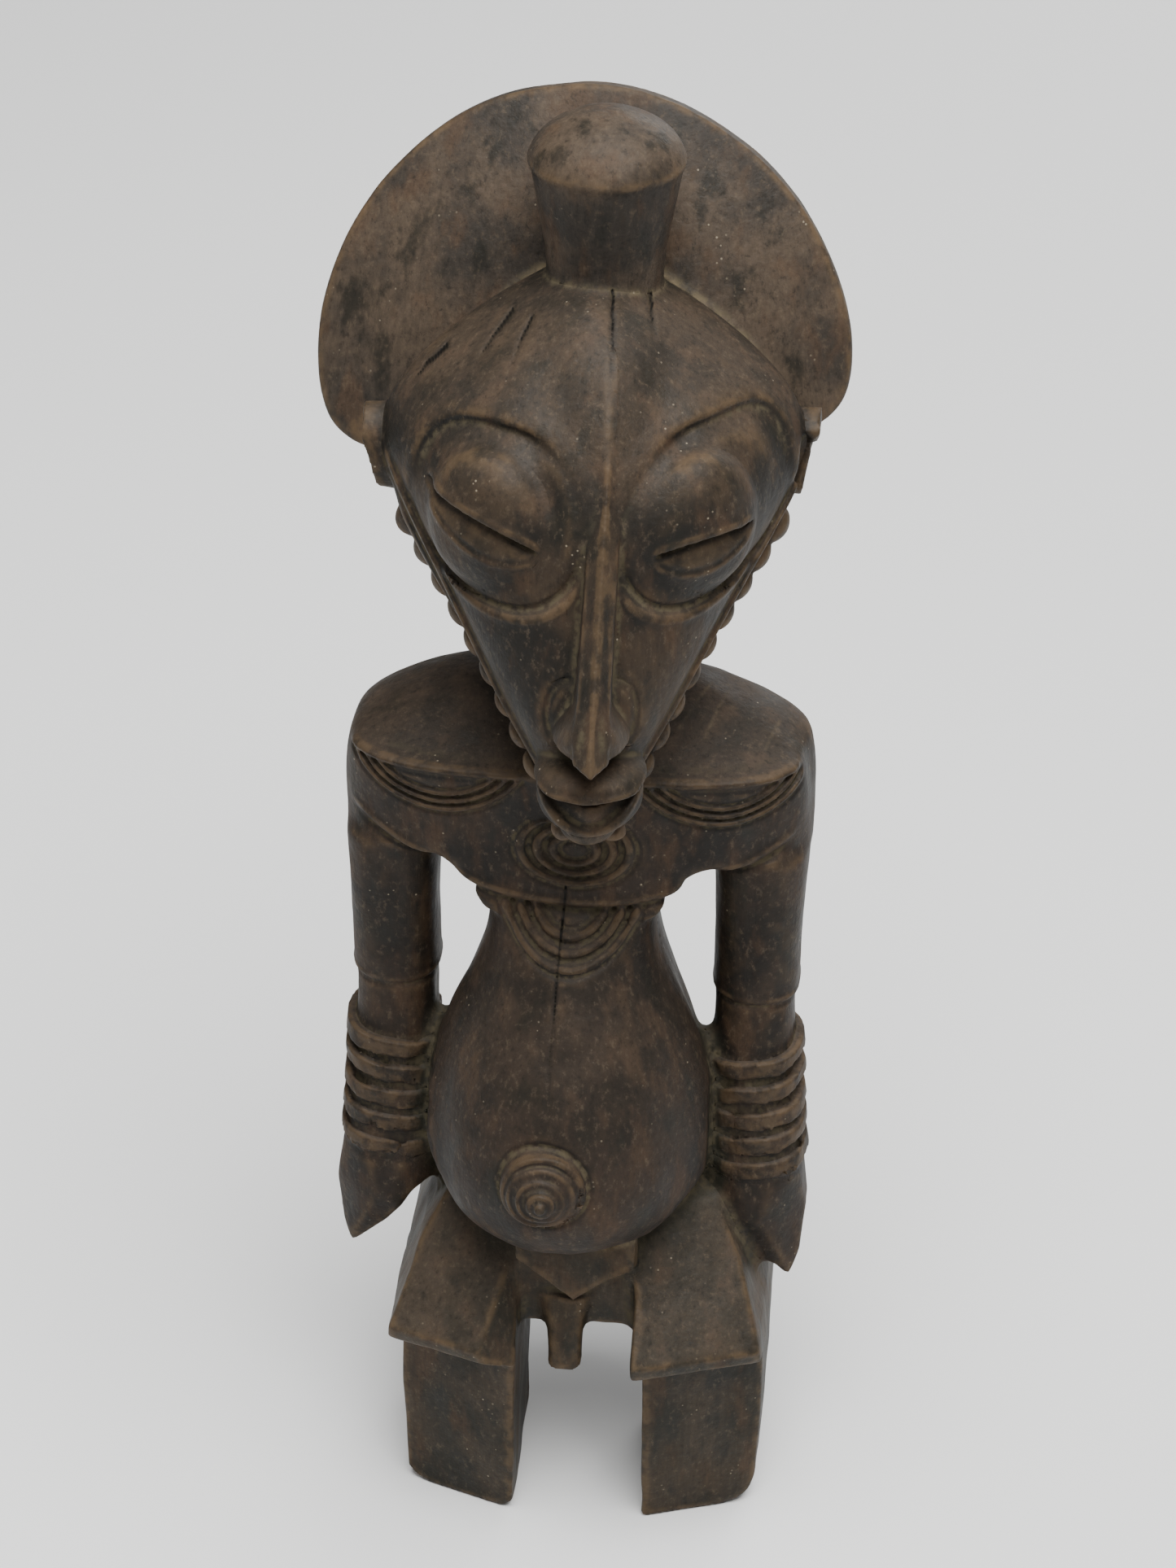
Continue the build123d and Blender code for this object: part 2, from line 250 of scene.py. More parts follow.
# ---------------------------------------------------------------- details
class Skin:
    """The samples near the surface, with their drawing coordinates, distances and cracks."""

    def __init__(self, figure):
        remade = figure.union(REMADE)
        self.where = np.nonzero((np.abs(figure.field) < SKIN + 1.5) | (remade < SKIN))
        axes = figure.axes()
        self.x, self.y, self.z = (axes[a][self.where[a]].astype(np.float32) for a in range(3))
        self.d = figure.field[self.where]
        self.crack = np.zeros_like(self.d)
        self.dust = np.zeros_like(self.d)

    def within(self, low, high):
        """Indices of the samples inside a drawing-frame box."""
        inside = (self.x > low[0]) & (self.x < high[0]) & (self.y > low[1]) & (self.y < high[1])
        return np.nonzero(inside & (self.z > low[2]) & (self.z < high[2]))[0]

    def change(self, low, high, carve):
        """carve(x, y, z, d) gives the new distances inside the box."""
        part = self.within(low, high)
        self.d[part] = carve(self.x[part], self.y[part], self.z[part], self.d[part])

    def collect(self, low, high, cover):
        """cover(x, y, z) gives how much dust lies inside the box, 0 to 1."""
        part = self.within(low, high)
        self.dust[part] = np.maximum(self.dust[part], cover(self.x[part], self.y[part], self.z[part]))

    def meeting(self, figure, some, others, width, depth=0.0, amount=1.0):
        """Dust, and a shallow cut, where two groups of nodes meet."""
        both = np.maximum(figure.union(some)[self.where], figure.union(others)[self.where])
        line = bump(both, width)
        self.dust = np.maximum(self.dust, amount * line)
        self.d += depth * line

    def split(self, low, high, line, width=0.45, depth=0.6):
        """A drying crack along a line of (x, z) points that tapers to its last one."""
        part = self.within(low, high)
        distance, along = line_distance(self.x[part], self.z[part], line)
        mark = bump(distance, width) * (1 - 0.75 * along ** 3)
        self.d[part] += depth * mark
        self.crack[part] = np.maximum(self.crack[part], mark)


def line_distance(x, z, line):
    """Distance to a line of points in x and z, and how far along it, 0 to 1."""
    best, along = np.full_like(x, 99), np.zeros_like(x)
    for k, ((ax, az), (bx, bz)) in enumerate(zip(line, line[1:])):
        dx, dz = bx - ax, bz - az
        t = ((x - ax) * dx + (z - az) * dz) / (dx * dx + dz * dz)
        clipped = np.clip(t, 0, 1)
        distance = np.hypot(x - ax - clipped * dx, z - az - clipped * dz)
        along = np.where(distance < best, (k + clipped) / (len(line) - 1), along)
        best = np.minimum(best, distance)
    return best, along


def ellipse_line(x, z, middle, half_wide, half_high):
    """Roughly the distance to an ellipse's outline, negative inside."""
    dx, dz = (x - middle[0]) / half_wide, (z - middle[1]) / half_high
    return (np.hypot(dx, dz) - 1) * min(half_wide, half_high)


def cord_line(distance, height=0.95, pitch=2.6):
    """A thin raised line with a shallow cut on each side of it."""
    return height * bump(distance, 0.75) - 0.55 * bump(np.abs(distance) - pitch / 2, 0.65)


def chest_marks(x, y, z, d):
    """Raised arcs under each collar ridge, under the chin and on the upper belly."""
    raised = np.zeros_like(d)
    for k in range(3):
        for side in (-1, 1):
            arc = np.hypot(x - 2 - side * 40, z - 268.6) - 27.3 + 2.8 * k
            raised += np.where((z < 254.5) & (side * (x - 2) > 14), cord_line(arc, 0.8), 0)
        ring = ellipse_line(x, z, (1.2, 231.5), 15.5 - 4.6 * k, 11 - 3.2 * k)
        raised += np.where(z < 241, cord_line(ring, 0.8, 3.2), 0)
        lobe = ellipse_line(x, z, (0.3, 215), 19 - 4.2 * k, 18 - 4.2 * k)
        raised += np.where(z < 213, cord_line(lobe, 0.8, 3.6), 0)
    return d - ramp(-y, 10, 15) * raised


def chest_edge(x, y, z, d):
    """The low edge of the chest over the belly, and a sharp collar ridge."""
    front = ramp(-y, 12, 18)
    edge = 213 + 3 * ((x - 1) / 24) ** 2
    d = d + front * (1.3 * bump(z - edge + 1.8, 1.5) - 0.6 * bump(z - edge - 1.2, 1.4))
    collar = ramp(-y, 10, 18) * ramp(np.abs(x - 2), 10, 20)
    return d - collar * (1.1 * bump(z - 256.2, 1.3) - 0.5 * bump(z - 253.4, 1.2))


def elbow_line(x, y, z, d):
    height = z - 174 - 0.06 * y
    return d + 0.7 * bump(height, 0.8) - 0.35 * bump(height - 1.8, 1.0)


def navel_steps(x, y, z, d):
    """Cut rings round the navel's cone and round its foot."""
    reach = np.hypot(x + 3.4, z - 138.5 - 0.05 * (y + 68))
    cuts = 0.6 * bump(reach - 12.9, 0.8) + 0.4 * bump(reach - 9.3, 0.7) + 0.4 * bump(reach - 6.2, 0.7)
    lips = 0.5 * bump(reach - 11.5, 0.9) + 0.5 * bump(reach - 7.8, 1.2) + 0.5 * bump(reach - 10, 1.3)
    return d + cuts - lips


def tool_marks(x, y, z, d):
    """Shallow facets of the adze and knife, finer on the face."""
    rough = Noise(3)(x, y, z * 0.5, 11.0) * 0.34
    fine = Noise(5)(x, y, z * 0.6, 4.2) * 0.13
    facets = Noise(8)(x, y, z * 0.8, 17.0) * 0.5 * (1 - ramp(z, 95, 125))
    wrists = ramp(np.abs(x - 2), 38, 42) * ramp(z, 110, 116) * (1 - ramp(z, 152, 158))
    uneven = Noise(11)(x, y, z * 1.4, 5.5) * 0.5 * wrists
    return d + ((rough + fine) * (1 - 0.6 * ramp(z, 260, 300)) + facets + uneven) * ramp(z, 0, 4)


# ---------------------------------------------------------------- face
SOCKET_MIDDLE, SOCKET_HALF = (27.5, 348.5), (23.0, 23.5)


def head_frame(x, y, z):
    """Distance from the face's middle line, and forward, in the turned head's own frame."""
    c, s = math.cos(math.radians(HEAD_YAW)), math.sin(math.radians(HEAD_YAW))
    across = (x - HEAD_X) * c + y * s - 0.052 * np.clip(z - 300, 0, 90)
    return across, (x - HEAD_X) * s - y * c


def socket_line(side, z):
    """Distance to the outline of an eye socket, negative inside."""
    dx = np.abs((side - SOCKET_MIDDLE[0]) / SOCKET_HALF[0])
    dz = np.abs((z - SOCKET_MIDDLE[1]) / SOCKET_HALF[1])
    return ((dx ** 2.3 + dz ** 2.3) ** (1 / 2.3) - 1) * 23


def forehead(x, y, z, d):
    """Two planes that meet in a keel over the nose."""
    across, forward = head_frame(x, y, z)
    side = np.abs(across)
    front = ramp(forward, 16, 26) * ramp(z, 338, 352)
    keel = np.exp(-np.sqrt(side ** 2 + 2) / 3.6) * (1 - ramp(z, 382, 394))
    hollow = bump(side - 13.5, 8.5) * (1 - ramp(z, 378, 394)) * ramp(z, 346, 362)
    return d + front * (1.7 * hollow - 2.0 * keel)


def eye_sockets(x, y, z, d):
    """A brow's edge above each eye, and a deep line below it along the cheek."""
    across, forward = head_frame(x, y, z)
    side = np.abs(across)
    front = ramp(forward, 12, 20)
    rim = socket_line(side, z)
    upper = ramp(z - 0.3 * (side - 28), 338, 354)
    inner = 1 - ramp(side, 10, 22)
    inside = (1 - ramp(rim, -1.8, 1.0)) * ramp(rim, -6.5, -1.6)
    brow = (1.4 - 1.0 * inner) * inside - 0.5 * bump(rim - 2.2, 2.8)
    filled = 1.5 * inner * bump(rim + 3, 3.5) * ramp(z, 334, 346)
    outer = 1 - 0.75 * ramp(side, 39, 46)
    crease = 1.3 * bump(rim, 1.1) + 0.7 * bump(rim + 1.6, 2.2) - 0.5 * bump(rim - 2.3, 1.3)
    return d + front * (upper * brow + (1 - upper) * outer * crease - filled)


def eye_leaf(x, y, z):
    """Where the leaf-shaped opening of an eye is, and the heights of its two edges."""
    across, forward = head_frame(x, y, z)
    left = np.sign(across)
    along = np.clip((np.abs(across) - 14.1 + 0.9 * left) / (30.7 - 2.4 * left), 0, 1)
    inside = ramp(along, 0.0, 0.05) * (1 - ramp(along, 0.84, 1.0)) * ramp(forward, 13, 20)
    arch = 4 * along * (1 - along)
    middle = 342.2 + (6.5 - 4.2 * left) * along
    return inside * ramp(arch, 0, 0.45), middle - 6.3 * arch, middle + 2.6 * arch


def eye_slits(x, y, z, d):
    """A ledge low in each eye, under the overhanging upper lid."""
    inside, lower, upper = eye_leaf(x, y, z)
    share = np.clip((z - lower) / np.maximum(upper - lower, 0.3), 0, 1)
    ledge = np.where(z < upper, 2.8 * share ** 1.2, 2.8 * (1 - ramp(z - upper, 0, 0.9)))
    ledge = np.where(z < lower, 0, ledge)
    lids = 0.5 * bump(z - lower, 0.75) - 0.3 * bump(z - lower + 1.5, 1.1) - 0.5 * bump(z - upper - 2.0, 1.3)
    return d + inside * (ledge + lids)


def eye_dust(x, y, z):
    inside, lower, upper = eye_leaf(x, y, z)
    return 0.25 * inside * ramp(z - lower, -0.6, 0.6) * (1 - ramp(z - upper, -0.5, 1))


def socket_dust(x, y, z):
    """Along the deep line under each eye."""
    across, forward = head_frame(x, y, z)
    side = np.abs(across)
    low = 1 - ramp(z - 0.3 * (side - 28), 336, 348)
    return 0.28 * bump(socket_line(side, z) - 0.9, 0.7) * low * ramp(forward, 12, 20)


def shoulder_scratches(x, y, z):
    """Three pale scratches on top of the figure's left shoulder."""
    lines = [(37.9, 6.7), (28.9, -13.3)], [(42.1, 5.4), (36, -15.2)], [(56.3, -1.4), (53, -14.4)]
    return 0.6 * np.max([bump(line_distance(x, y, line)[0], 0.5) for line in lines], axis=0)


def jaw_rim(x, y, z, d):
    """A thin raised rim along the jaw, and a low band that the beard's scallops stand on."""
    across, forward = head_frame(x, y, z)
    line = (np.abs(across) - 50.5 + 0.62 * (337 - z)) * 0.85
    front = ramp(forward, 8, 16) * (1 - ramp(z, 345, 356))
    band = 1.2 * bump(line - 4.8, 2.6) * (1 - ramp(z, 330, 340))
    cuts = 0.5 * bump(line + 2.2, 0.9) + 0.6 * bump(line - 2.0, 0.9)
    return d - front * (0.8 * bump(line, 1.0) - cuts) - band


def nose(x, y, z, d):
    """A roof-ridged blade with a leaf-shaped wing on each side of its foot."""
    across, forward = head_frame(x, y, z)
    side = np.abs(across - 0.5)
    ridge = np.interp(z, [286, 293.5, 322, 350, 366, 380, 392], [90, 92, 77.5, 64.5, 55, 41, 18])
    ridge = ridge.astype(np.float32)
    half = np.interp(z, [292, 312, 350, 366, 380], [4.6, 4.1, 4.0, 3.2, 2]).astype(np.float32)
    roof = (forward - ridge + 1.0 * side) * 0.71
    walls = side - half - 0.05 * np.clip(ridge - forward, 0, 20)
    under = (288.6 + 0.36 * (forward - 76) + 0.75 * side - z) * 0.8
    blade = np.maximum(np.maximum(roof, walls), under)
    narrower = ramp(z, 292, 308)
    round_part = np.hypot((side - 5.4 + 2.4 * narrower) / (5.6 - 2.6 * narrower), (forward - 71.5) / 12.5)
    tall_part = (z - 298.5 - 0.3 * (forward - 72)) / 12
    wing = np.maximum((round_part + tall_part ** 2 - 1) * 3.6, under)
    foot = np.hypot((side - 5.2) / 6.6, (z - 299.5) / 10.5)
    d = d + ramp(forward, 50, 60) * 0.75 * bump((foot - 1) * 6.5, 0.9)
    return joined(joined(blade, wing, 0.6), d, 1.1)


def mouth(x, y, z, d):
    """An upper lip with a sharp edge over an opening that a U-shaped lower lip rings."""
    across, forward = head_frame(x, y, z)
    side = np.abs(across - 0.3)
    parting = 279.0 + 2.2 * (side / 14.8) ** 2 + 0.9 * bump(side - 6, 3.5)
    upper = np.sqrt((side / 15.0) ** 2 + ((forward - 66.5) / 15) ** 2 + ((z - 282.6) / 6.0) ** 2)
    upper = np.maximum((upper - 1) * 6.0, parting - z)
    lower = np.sqrt((side / 14.4) ** 2 + ((forward - 64) / 14.8) ** 2 + ((z - 274.8) / 11) ** 2)
    lower = np.maximum((lower - 1) * 10, z - parting + 0.8)
    edge = 265.0 + 14.0 * np.abs(side / 14.4) ** 1.6
    opening = ramp(z - edge, 2.4, 5.0) * (1 - ramp(z - parting, -0.6, 0.4))
    lower = lower + 1.6 * opening * (1 - 0.7 * ramp(side, 5, 12)) - 0.8 * bump(z - edge - 0.8, 2.1)
    d = joined(d, joined(upper, lower, 0.5), 1.2)
    return d - ramp(forward, 60, 68) * 0.5 * bump(z - parting - 1.1, 1.0) * (1 - ramp(side, 12, 16))


def ears(x, y, z, d):
    """Ears that taper downwards, with a C-shaped hollow in the outer face."""
    reach = np.abs(x - 2.4)
    slope = (reach - 61.0 + 0.17 * (357 - z) - 1.2 * bump(z - 353, 4)) * 0.98
    near = ramp(reach, 50, 54) * (np.abs(y + 5) < 14)
    d = np.where(near > 0.5, np.maximum(d, slope), d)
    hollow = ellipse_line(y, z, (-6, 346), 4.6, 8.6)
    return d + ramp(reach, 51, 54) * 1.8 * (1 - ramp(hollow, -1.6, 0.4))


def carve_details(figure):
    skin = Skin(figure)
    skin.change((-70, -90, 190), (75, 0, 262), chest_marks)
    skin.change((-70, -60, 205), (75, 0, 262), chest_edge)
    for low, high in ((-75, -36), (38, 75)):
        skin.change((low, -40, 168), (high, 40, 180), elbow_line)
    skin.change((-24, -90, 124), (17, -30, 160), navel_steps)
    skin.change((-70, -100, 330), (70, 10, 400), forehead)
    skin.change((-70, -100, 315), (70, 5, 385), eye_sockets)
    skin.change((-70, -100, 325), (70, 0, 365), eye_slits)
    skin.change((-70, -100, 262), (70, 0, 360), jaw_rim)
    skin.change((-40, -110, 250), (40, -20, 400), nose)
    skin.change((-40, -110, 248), (40, -40, 300), mouth)
    skin.change((-80, -40, 325), (80, 20, 365), ears)
    skin.change((-200, -200, -5), (200, 200, 500), tool_marks)
    skin.split((-20, -90, 150), (20, -20, 222),
               [(-1.1, 219), (-2.1, 203), (-2.4, 191), (-3.1, 177), (-3.6, 156)])
    skin.split((-10, -50, 375), (20, 0, 400), [(8.0, 397), (9.3, 392), (10, 387), (10.2, 380)])
    skin.split((5, -50, 375), (30, 5, 400), [(17.2, 394), (18.7, 391), (20.3, 388)], width=0.38)
    skin.split((-50, -50, 365), (-10, 5, 400), [(-18.2, 389), (-23.2, 384), (-27, 379.5)], width=0.38)
    skin.split((-50, -50, 365), (-10, 5, 400), [(-12.5, 390.5), (-14.8, 387), (-17, 382)], width=0.38)
    skin.split((-55, -40, 355), (-20, 10, 400), [(-35.7, 378), (-41.4, 373), (-46.5, 366.5)], width=0.38)
    arms = [side + name for side in ("left_", "right_") for name in ("forearm", "bracelets", "hand")]
    legs = ["left_thigh", "right_thigh", "loin_block", "loin_apron"]
    skin.meeting(figure, ["belly"], legs, 2.0, 0.5)
    skin.meeting(figure, ["belly"], arms, 2.0, 0.5, 0.25)
    skin.meeting(figure, ["crest"], ["head", "hair_knot"], 3.2, 0.5, 0.8)
    skin.meeting(figure, ["hair_knot"], ["head"], 1.6, 0.3, 0.5)
    skin.meeting(figure, arms, ["left_thigh", "right_thigh"], 1.6, 0, 0.35)
    skin.collect((-70, -100, 325), (70, 0, 365), eye_dust)
    skin.collect((-70, -100, 315), (70, 5, 352), socket_dust)
    skin.collect((20, -25, 255), (65, 15, 280), shoulder_scratches)
    figure.field[skin.where] = skin.d
    figure.crack = np.zeros_like(figure.field)
    figure.crack[skin.where] = skin.crack
    figure.dust = np.zeros_like(figure.field)
    figure.dust[skin.where] = skin.dust


def surroundings(figure):
    """How much wood there is round each sample, at three scales, for dust, wear and painted shade in the
    recesses.
    """
    coarse = np.clip(0.5 - figure.field[::3, ::3, ::3] / FAR, 0, 1)
    for _ in range(2):
        coarse = blurred_cells(coarse, round(9 / (3 * VOXEL)))
    return {"crease": figure.field - blurred(figure.field, 1.3),
            "valley": figure.field - blurred(figure.field, 4.5),
            "crack": figure.crack, "dust": figure.dust, "shelter": coarse}


# ---------------------------------------------------------------- pieces
def trilinear(block, low, points):
    """The block's values at points in mm."""
    place = points / VOXEL - low
    whole = np.clip(np.floor(place).astype(int), 0, np.array(block.shape) - 2)
    part = place - whole
    total = 0
    for corner in range(8):
        bits = np.array([(corner >> axis) & 1 for axis in range(3)])
        weight = np.prod(np.where(bits, part, 1 - part), axis=1)
        total = total + weight * block[tuple((whole + bits).T)]
    return total


def slope(block, low, points):
    """The block's gradient at points in mm."""
    step = VOXEL / 2
    columns = []
    for axis in range(3):
        offset = np.zeros(3)
        offset[axis] = step
        ahead = trilinear(block, low, points + offset)
        columns.append((ahead - trilinear(block, low, points - offset)) / (2 * step))
    return np.stack(columns, 1)


def onto_seam(points, low, skin_block, cut_block):
    """Moves the points along a piece's rim onto the line where the skin meets the cut."""
    a, b = trilinear(skin_block, low, points), trilinear(cut_block, low, points)
    rim = np.nonzero((np.abs(a) < 0.9 * VOXEL) & (np.abs(b) < 0.9 * VOXEL))[0]
    start = points[rim].copy()
    moved = start.copy()
    for _ in range(4):
        values = np.stack([trilinear(skin_block, low, moved), trilinear(cut_block, low, moved)], 1)
        slopes = np.stack([slope(skin_block, low, moved), slope(cut_block, low, moved)], 1)
        square = slopes @ slopes.transpose(0, 2, 1) + np.eye(2) * 1e-3
        step = np.linalg.solve(square, values[:, :, None])
        moved = moved - (slopes.transpose(0, 2, 1) @ step)[:, :, 0]
    shift = moved - start
    length = np.linalg.norm(shift, axis=1, keepdims=True)
    points[rim] = start + shift * np.minimum(1, 1.2 * VOXEL / np.maximum(length, 1e-6))
    return points


def without_specks(points, quads, smallest=150):
    """The mesh without its loose islands of fewer quads than that."""
    label, grown = np.zeros(len(points), int), np.arange(len(points))
    while not np.array_equal(grown, label):
        label = grown.copy()
        np.minimum.at(grown, quads.ravel(), np.repeat(label[quads].min(1), 4))
        grown = grown[grown]
    island = label[quads[:, 0]]
    kept = quads[np.bincount(island)[island] >= smallest]
    used, place = np.unique(kept, return_inverse=True)
    return points[used], place.reshape(kept.shape)


def build_mesh(name, points, quads):
    mesh = bpy.data.meshes.new(name)
    mesh.vertices.add(len(points))
    mesh.vertices.foreach_set("co", (points / 1000).astype(np.float32).ravel())
    mesh.loops.add(quads.size)
    mesh.loops.foreach_set("vertex_index", quads.astype(np.int32).ravel())
    mesh.polygons.add(len(quads))
    mesh.polygons.foreach_set("loop_start", np.arange(0, quads.size, 4, dtype=np.int32))
    mesh.update(calc_edges=True)
    mesh.validate()
    mesh.shade_smooth()
    mesh.set_sharp_from_angle(angle=math.radians(55))
    return mesh


def cut_piece(figure, index, node, hollows):
    room = figure.room(node)
    low, own = figure.distance[node][0], figure.claim[node]
    other = np.where(figure.owner[room] == index, figure.rival[room], figure.nearest[room])
    cut = (own - other) / 2
    skin_block = figure.field[room]
    points, quads = without_specks(*surface(np.maximum(skin_block, cut), low))
    points = onto_seam(points.astype(np.float64), low, skin_block, cut)
    mesh = build_mesh("carved_" + node, points, quads)
    for name, block in hollows.items():
        layer = mesh.attributes.new(name, "FLOAT", "POINT")
        scale = 3 if name == "shelter" else 1
        values = trilinear(block, figure.low / scale, points / scale)
        layer.data.foreach_set("value", values.astype(np.float32))
    piece = bpy.data.objects.new("carved_" + node, mesh)
    bpy.context.scene.collection.objects.link(piece)
    return piece


# ---------------------------------------------------------------- materials
class Nodes:
    """A material whose node tree is built by short calls."""

    def __init__(self, name):
        self.material = bpy.data.materials.new(name)
        self.material.use_nodes = True
        self.tree = self.material.node_tree
        self.shader = self.tree.nodes["Principled BSDF"]
        self.place = self.add("TexCoord").outputs["Object"]

    def add(self, kind, inputs=(), **settings):
        node = self.tree.nodes.new("ShaderNode" + kind)
        for name, value in settings.items():
            setattr(node, name, value)
        for socket, value in dict(inputs).items():
            self.set(node.inputs[socket], value)
        return node

    def set(self, socket, value):
        if isinstance(value, bpy.types.NodeSocket):
            self.tree.links.new(value, socket)
        else:
            socket.default_value = value

    def attribute(self, name):
        return self.add("Attribute", attribute_name=name).outputs["Fac"]

    def noise(self, size, detail=3, stretch=1, roughness=0.55):
        """Noise with features of that size in mm, stretch times longer up the grain."""
        scaled = self.add("Mapping", {"Vector": self.place, "Scale": (1, 1, 1 / stretch)}).outputs["Vector"]
        inputs = {"Vector": scaled, "Scale": 1000 / size, "Detail": detail, "Roughness": roughness}
        made = self.add("TexNoise", inputs)
        return made.outputs["Fac"]

    def ramp(self, value, low, high, start=0.0, end=1.0):
        inputs = {"Value": value, "From Min": low, "From Max": high, "To Min": start, "To Max": end}
        made = self.add("MapRange", inputs, interpolation_type="SMOOTHSTEP")
        return made.outputs["Result"]

    def math(self, kind, a, b):
        return self.add("Math", {0: a, 1: b}, operation=kind, use_clamp=kind != "ADD").outputs[0]

    def mix(self, share, a, b, kind="MIX"):
        return self.add("Mix", {0: share, 6: a, 7: b}, data_type="RGBA", blend_type=kind).outputs[2]


def shade(red, green, blue):
    return (red, green, blue, 1)


def patina(slot, deep, warm, dust_amount, wear_amount, settled_dust_and_sheen):
    """Old dark wood: patches, grain, worn edges, painted shade in the sheltered recesses, dust in the cuts,
    cracks.
    The last argument is how much grey-brown film lies on what looks up: partly settled dust, partly painted
    sheen from the sky."""
    n = Nodes(slot)
    crease, valley, shelter = n.attribute("crease"), n.attribute("valley"), n.attribute("shelter")
    patches, cloud = n.noise(26, 4), n.noise(9, 5, 2.5)
    grain = n.noise(1.3, 4, 22, 0.65)
    fibres = n.noise(0.5, 2, 30)
    speckle = n.noise(1.8, 4, 1.5, 0.7)
    colour = n.mix(n.ramp(patches, 0.4, 0.6), deep, warm)
    colour = n.mix(n.ramp(cloud, 0.5, 0.68, 0, 0.5), colour, shade(0.07, 0.04, 0.022))
    colour = n.mix(n.ramp(cloud, 0.46, 0.32, 0, 0.75), colour, shade(0.011, 0.011, 0.0085))
    colour = n.mix(n.ramp(grain, 0.35, 0.65, 0.25, 0), colour, shade(0.01, 0.008, 0.006))
    # Grey-brown film on faces that look up: partly settled dust, partly painted sheen where the sky would
    # shine on the tops.
    facing = n.add("SeparateXYZ", {"Vector": n.add("NewGeometry").outputs["Normal"]}).outputs["Z"]
    dust_and_sheen_film = n.math("MULTIPLY", n.ramp(facing, 0.05, 0.85), n.ramp(cloud, 0.3, 0.7, 0.55, 1))
    colour = n.mix(n.math("MULTIPLY", dust_and_sheen_film, settled_dust_and_sheen), colour, shade(0.07, 0.053, 0.038))
    colour = n.mix(n.ramp(speckle, 0.52, 0.74, 0, 0.45), colour, shade(0.1, 0.074, 0.048))
    colour = n.mix(n.ramp(speckle, 0.48, 0.28, 0, 0.6), colour, shade(0.01, 0.009, 0.007))
    worn = n.math("MULTIPLY", n.ramp(crease, -0.05, -0.3), n.ramp(n.noise(5, 4), 0.38, 0.6, 0.15, 1))
    colour = n.mix(n.math("MULTIPLY", worn, wear_amount), colour, shade(0.115, 0.074, 0.038))
    # Painted shade: dark olive where much wood surrounds the surface, in recesses and under parts.
    recess_shade = n.math("MULTIPLY", n.ramp(shelter, 0.53, 0.72), n.ramp(n.noise(14, 3), 0.3, 0.65, 0.4, 1))
    colour = n.mix(n.math("MULTIPLY", recess_shade, 0.6), colour, shade(0.027, 0.028, 0.018))
    broken = n.ramp(n.noise(2.2, 5), 0.34, 0.62)
    dust = n.math("MULTIPLY", n.ramp(crease, 0.04, 0.3), broken)
    deep_dust = n.math("MULTIPLY", n.ramp(valley, 0.35, 1.3), n.ramp(broken, 0.2, 1, 0.1, 0.75))
    dust = n.math("MAXIMUM", dust, deep_dust)
    colour = n.mix(n.math("MULTIPLY", dust, dust_amount), colour, shade(0.075, 0.062, 0.037))
    laid = n.math("MULTIPLY", n.ramp(n.attribute("dust"), 0.1, 0.9), n.ramp(broken, 0.0, 0.8, 0.5, 1))
    laid = n.math("MULTIPLY", laid, n.ramp(cloud, 0.36, 0.6, 0.3, 1))
    colour = n.mix(n.math("MULTIPLY", laid, dust_amount), colour, shade(0.17, 0.132, 0.08))
    dust = n.math("MAXIMUM", dust, laid)
    specks = n.add("TexVoronoi", {"Vector": n.place, "Scale": 420}).outputs["Distance"]
    specks = n.math("MULTIPLY", n.ramp(specks, 0.16, 0.08), n.ramp(n.noise(12, 3), 0.56, 0.7, 0, 0.8))
    colour = n.mix(specks, colour, shade(0.25, 0.21, 0.15))
    crack = n.attribute("crack")
    colour = n.mix(n.ramp(crack, 0.3, 0.7), colour, shade(0.004, 0.003, 0.002))
    n.set(n.shader.inputs["Base Color"], colour)
    gloss = n.ramp(cloud, 0.3, 0.7, 0.5, 0.64)
    gloss = n.add("Mix", {0: dust, 2: gloss, 3: 0.9}).outputs[0]
    n.set(n.shader.inputs["Roughness"], gloss)
    n.set(n.shader.inputs["Specular IOR Level"], 0.15)
    relief = n.math("ADD", n.math("MULTIPLY", grain, 0.5), n.math("MULTIPLY", fibres, 0.2))
    relief = n.math("ADD", relief, n.math("MULTIPLY", broken, 0.35))
    bump = n.add("Bump", {"Height": relief, "Strength": 0.45, "Distance": 0.0004}).outputs["Normal"]
    n.set(n.shader.inputs["Normal"], bump)
    return n.material


def materials():
    # The last number of each finish is its grey-brown film on upward faces: partly settled dust, partly
    # painted sheen.
    finishes = {"body_wood": (shade(0.01, 0.008, 0.0065), shade(0.025, 0.017, 0.012), 0.75, 0.4, 0.5),
                "face_wood": (shade(0.012, 0.0105, 0.0085), shade(0.036, 0.025, 0.016), 0.75, 0.4, 0.35),
                "hair_wood": (shade(0.03, 0.0245, 0.0195), shade(0.066, 0.048, 0.033), 0.85, 0.5, 0.12),
                "leg_wood": (shade(0.017, 0.0155, 0.011), shade(0.038, 0.028, 0.018), 0.75, 0.45, 0.5)}
    return {slot: patina(slot, *finish) for slot, finish in finishes.items()}


# ---------------------------------------------------------------- main
def main():
    figure = Figure()
    carve_details(figure)
    hollows = surroundings(figure)
    slots = {entry["node"]: entry["material_slot"] for entry in frame["record"]["subparts"]}
    finishes = materials()
    for index, node in enumerate(PARTS):
        piece = cut_piece(figure, index, node, hollows)
        piece.data.materials.append(finishes[slots[node]])
        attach(piece, "root")
        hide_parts(node)


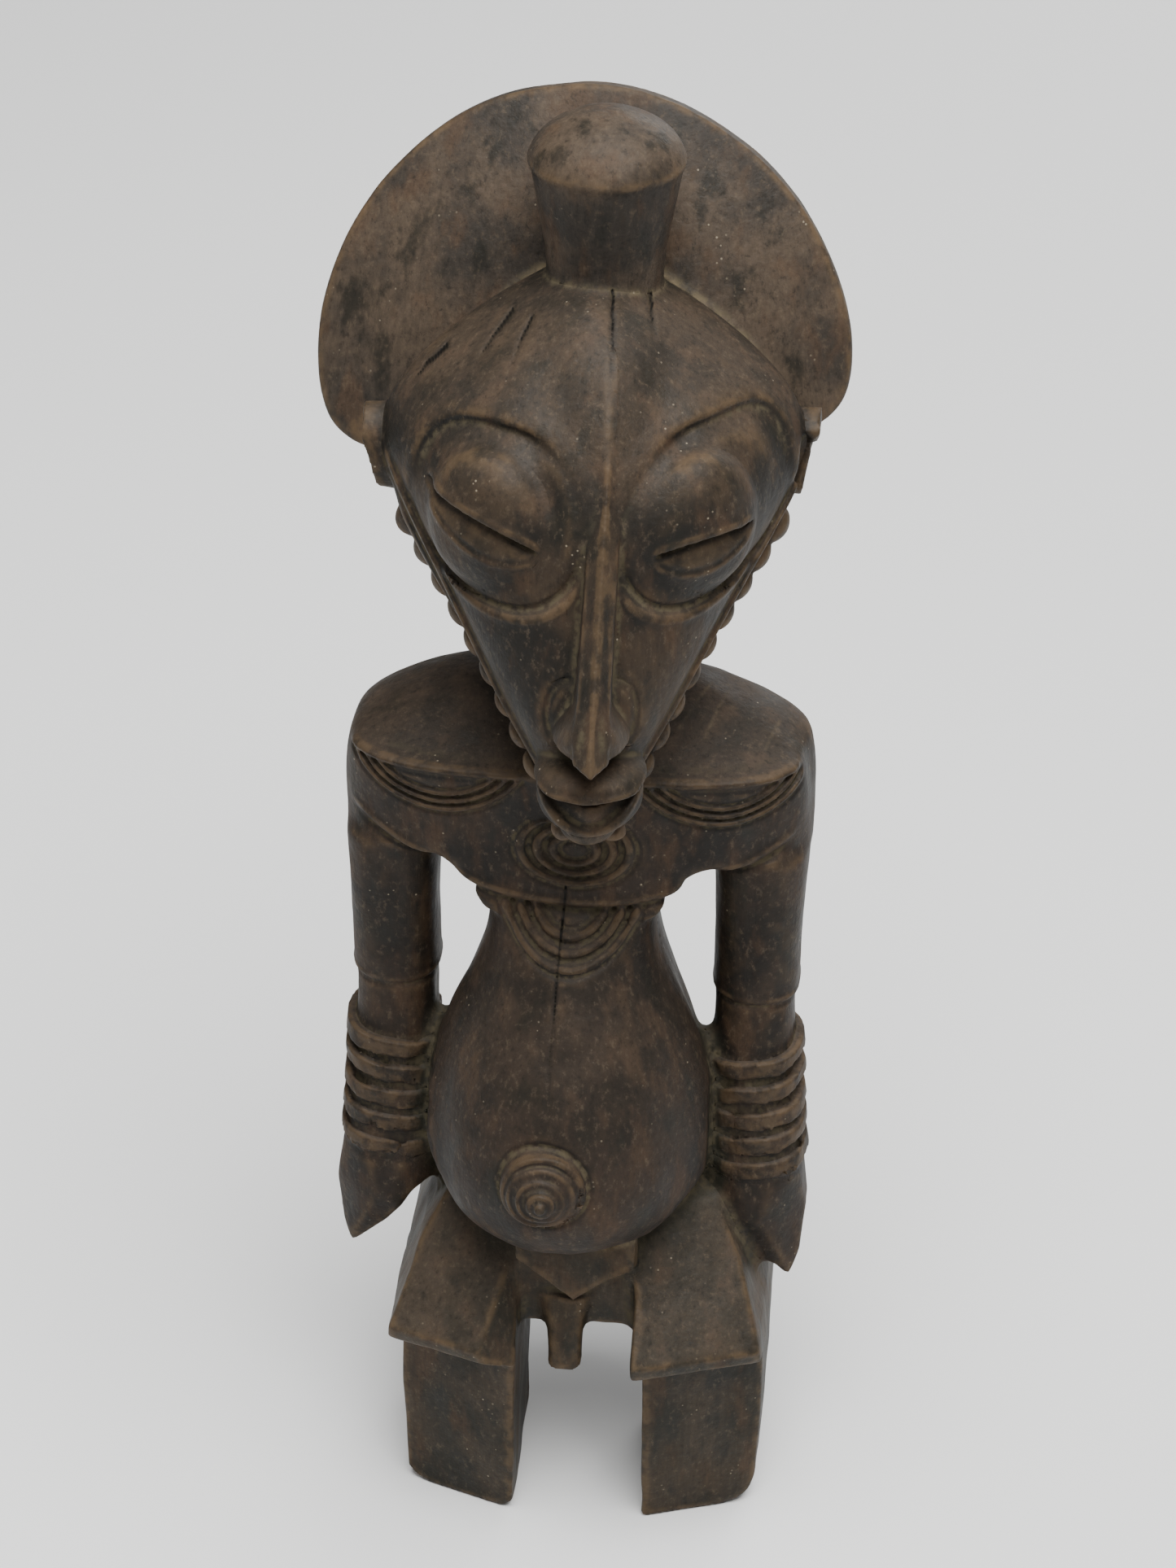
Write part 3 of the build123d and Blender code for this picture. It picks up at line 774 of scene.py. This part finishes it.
def floor():
    mesh = bpy.data.meshes.new("floor")
    mesh.from_pydata([(-4, -4, 0), (4, -4, 0), (4, 4, 0), (-4, 4, 0)], [], [(0, 1, 2, 3)])
    plane = bpy.data.objects.new("floor", mesh)
    bpy.context.scene.collection.objects.link(plane)
    pale = bpy.data.materials.new("pale_floor")
    pale.use_nodes = True
    shader = pale.node_tree.nodes["Principled BSDF"]
    shader.inputs["Base Color"].default_value = (0.86, 0.86, 0.85, 1)
    shader.inputs["Roughness"].default_value = 0.9
    plane.data.materials.append(pale)


def camera():
    azimuth, elevation, roll = math.radians(5), math.radians(32), math.radians(0.8)
    level = math.cos(elevation)
    back = mathutils.Vector((math.sin(azimuth) * level, -math.cos(azimuth) * level, math.sin(elevation)))
    right = (-back).cross(mathutils.Vector((0, 0, 1))).normalized()
    up = back.cross(right)
    turned_right = right * math.cos(roll) + up * math.sin(roll)
    turned_up = up * math.cos(roll) - right * math.sin(roll)
    aim = mathutils.Vector((ORIGIN[0] + 2.3, ORIGIN[1], 236.3)) / 1000
    data = bpy.data.cameras.new("camera")
    data.lens, data.sensor_width, data.sensor_fit = 96.5, 36, "AUTO"
    eye = bpy.data.objects.new("camera", data)
    axes = mathutils.Matrix((turned_right, turned_up, back)).transposed().to_4x4()
    eye.matrix_world = mathutils.Matrix.Translation(aim + back * 1.2) @ axes
    bpy.context.scene.collection.objects.link(eye)
    bpy.context.scene.camera = eye


def light(name, place, aim, size, power):
    data = bpy.data.lights.new(name, "AREA")
    data.shape, data.size, data.energy = "DISK", size, power
    lamp = bpy.data.objects.new(name, data)
    lamp.location = place
    towards = mathutils.Vector(aim) - mathutils.Vector(place)
    lamp.rotation_euler = towards.to_track_quat("-Z", "Y").to_euler()
    bpy.context.scene.collection.objects.link(lamp)


def studio():
    floor()
    light("sky", (0.25, -0.6, 2.2), (0, 0, 0.25), 1.8, 105)
    light("fill", (-1.5, -0.4, 1.5), (0, 0, 0.25), 1.4, 7)
    light("back", (0.7, 2.0, 1.2), (0, 0, 0.2), 1.6, 24)
    world = bpy.data.worlds.new("studio")
    world.use_nodes = True
    world.node_tree.nodes["Background"].inputs["Color"].default_value = (0.92, 0.95, 1.0, 1)
    world.node_tree.nodes["Background"].inputs["Strength"].default_value = 0.15
    bpy.context.scene.world = world
    camera()


main()
studio()
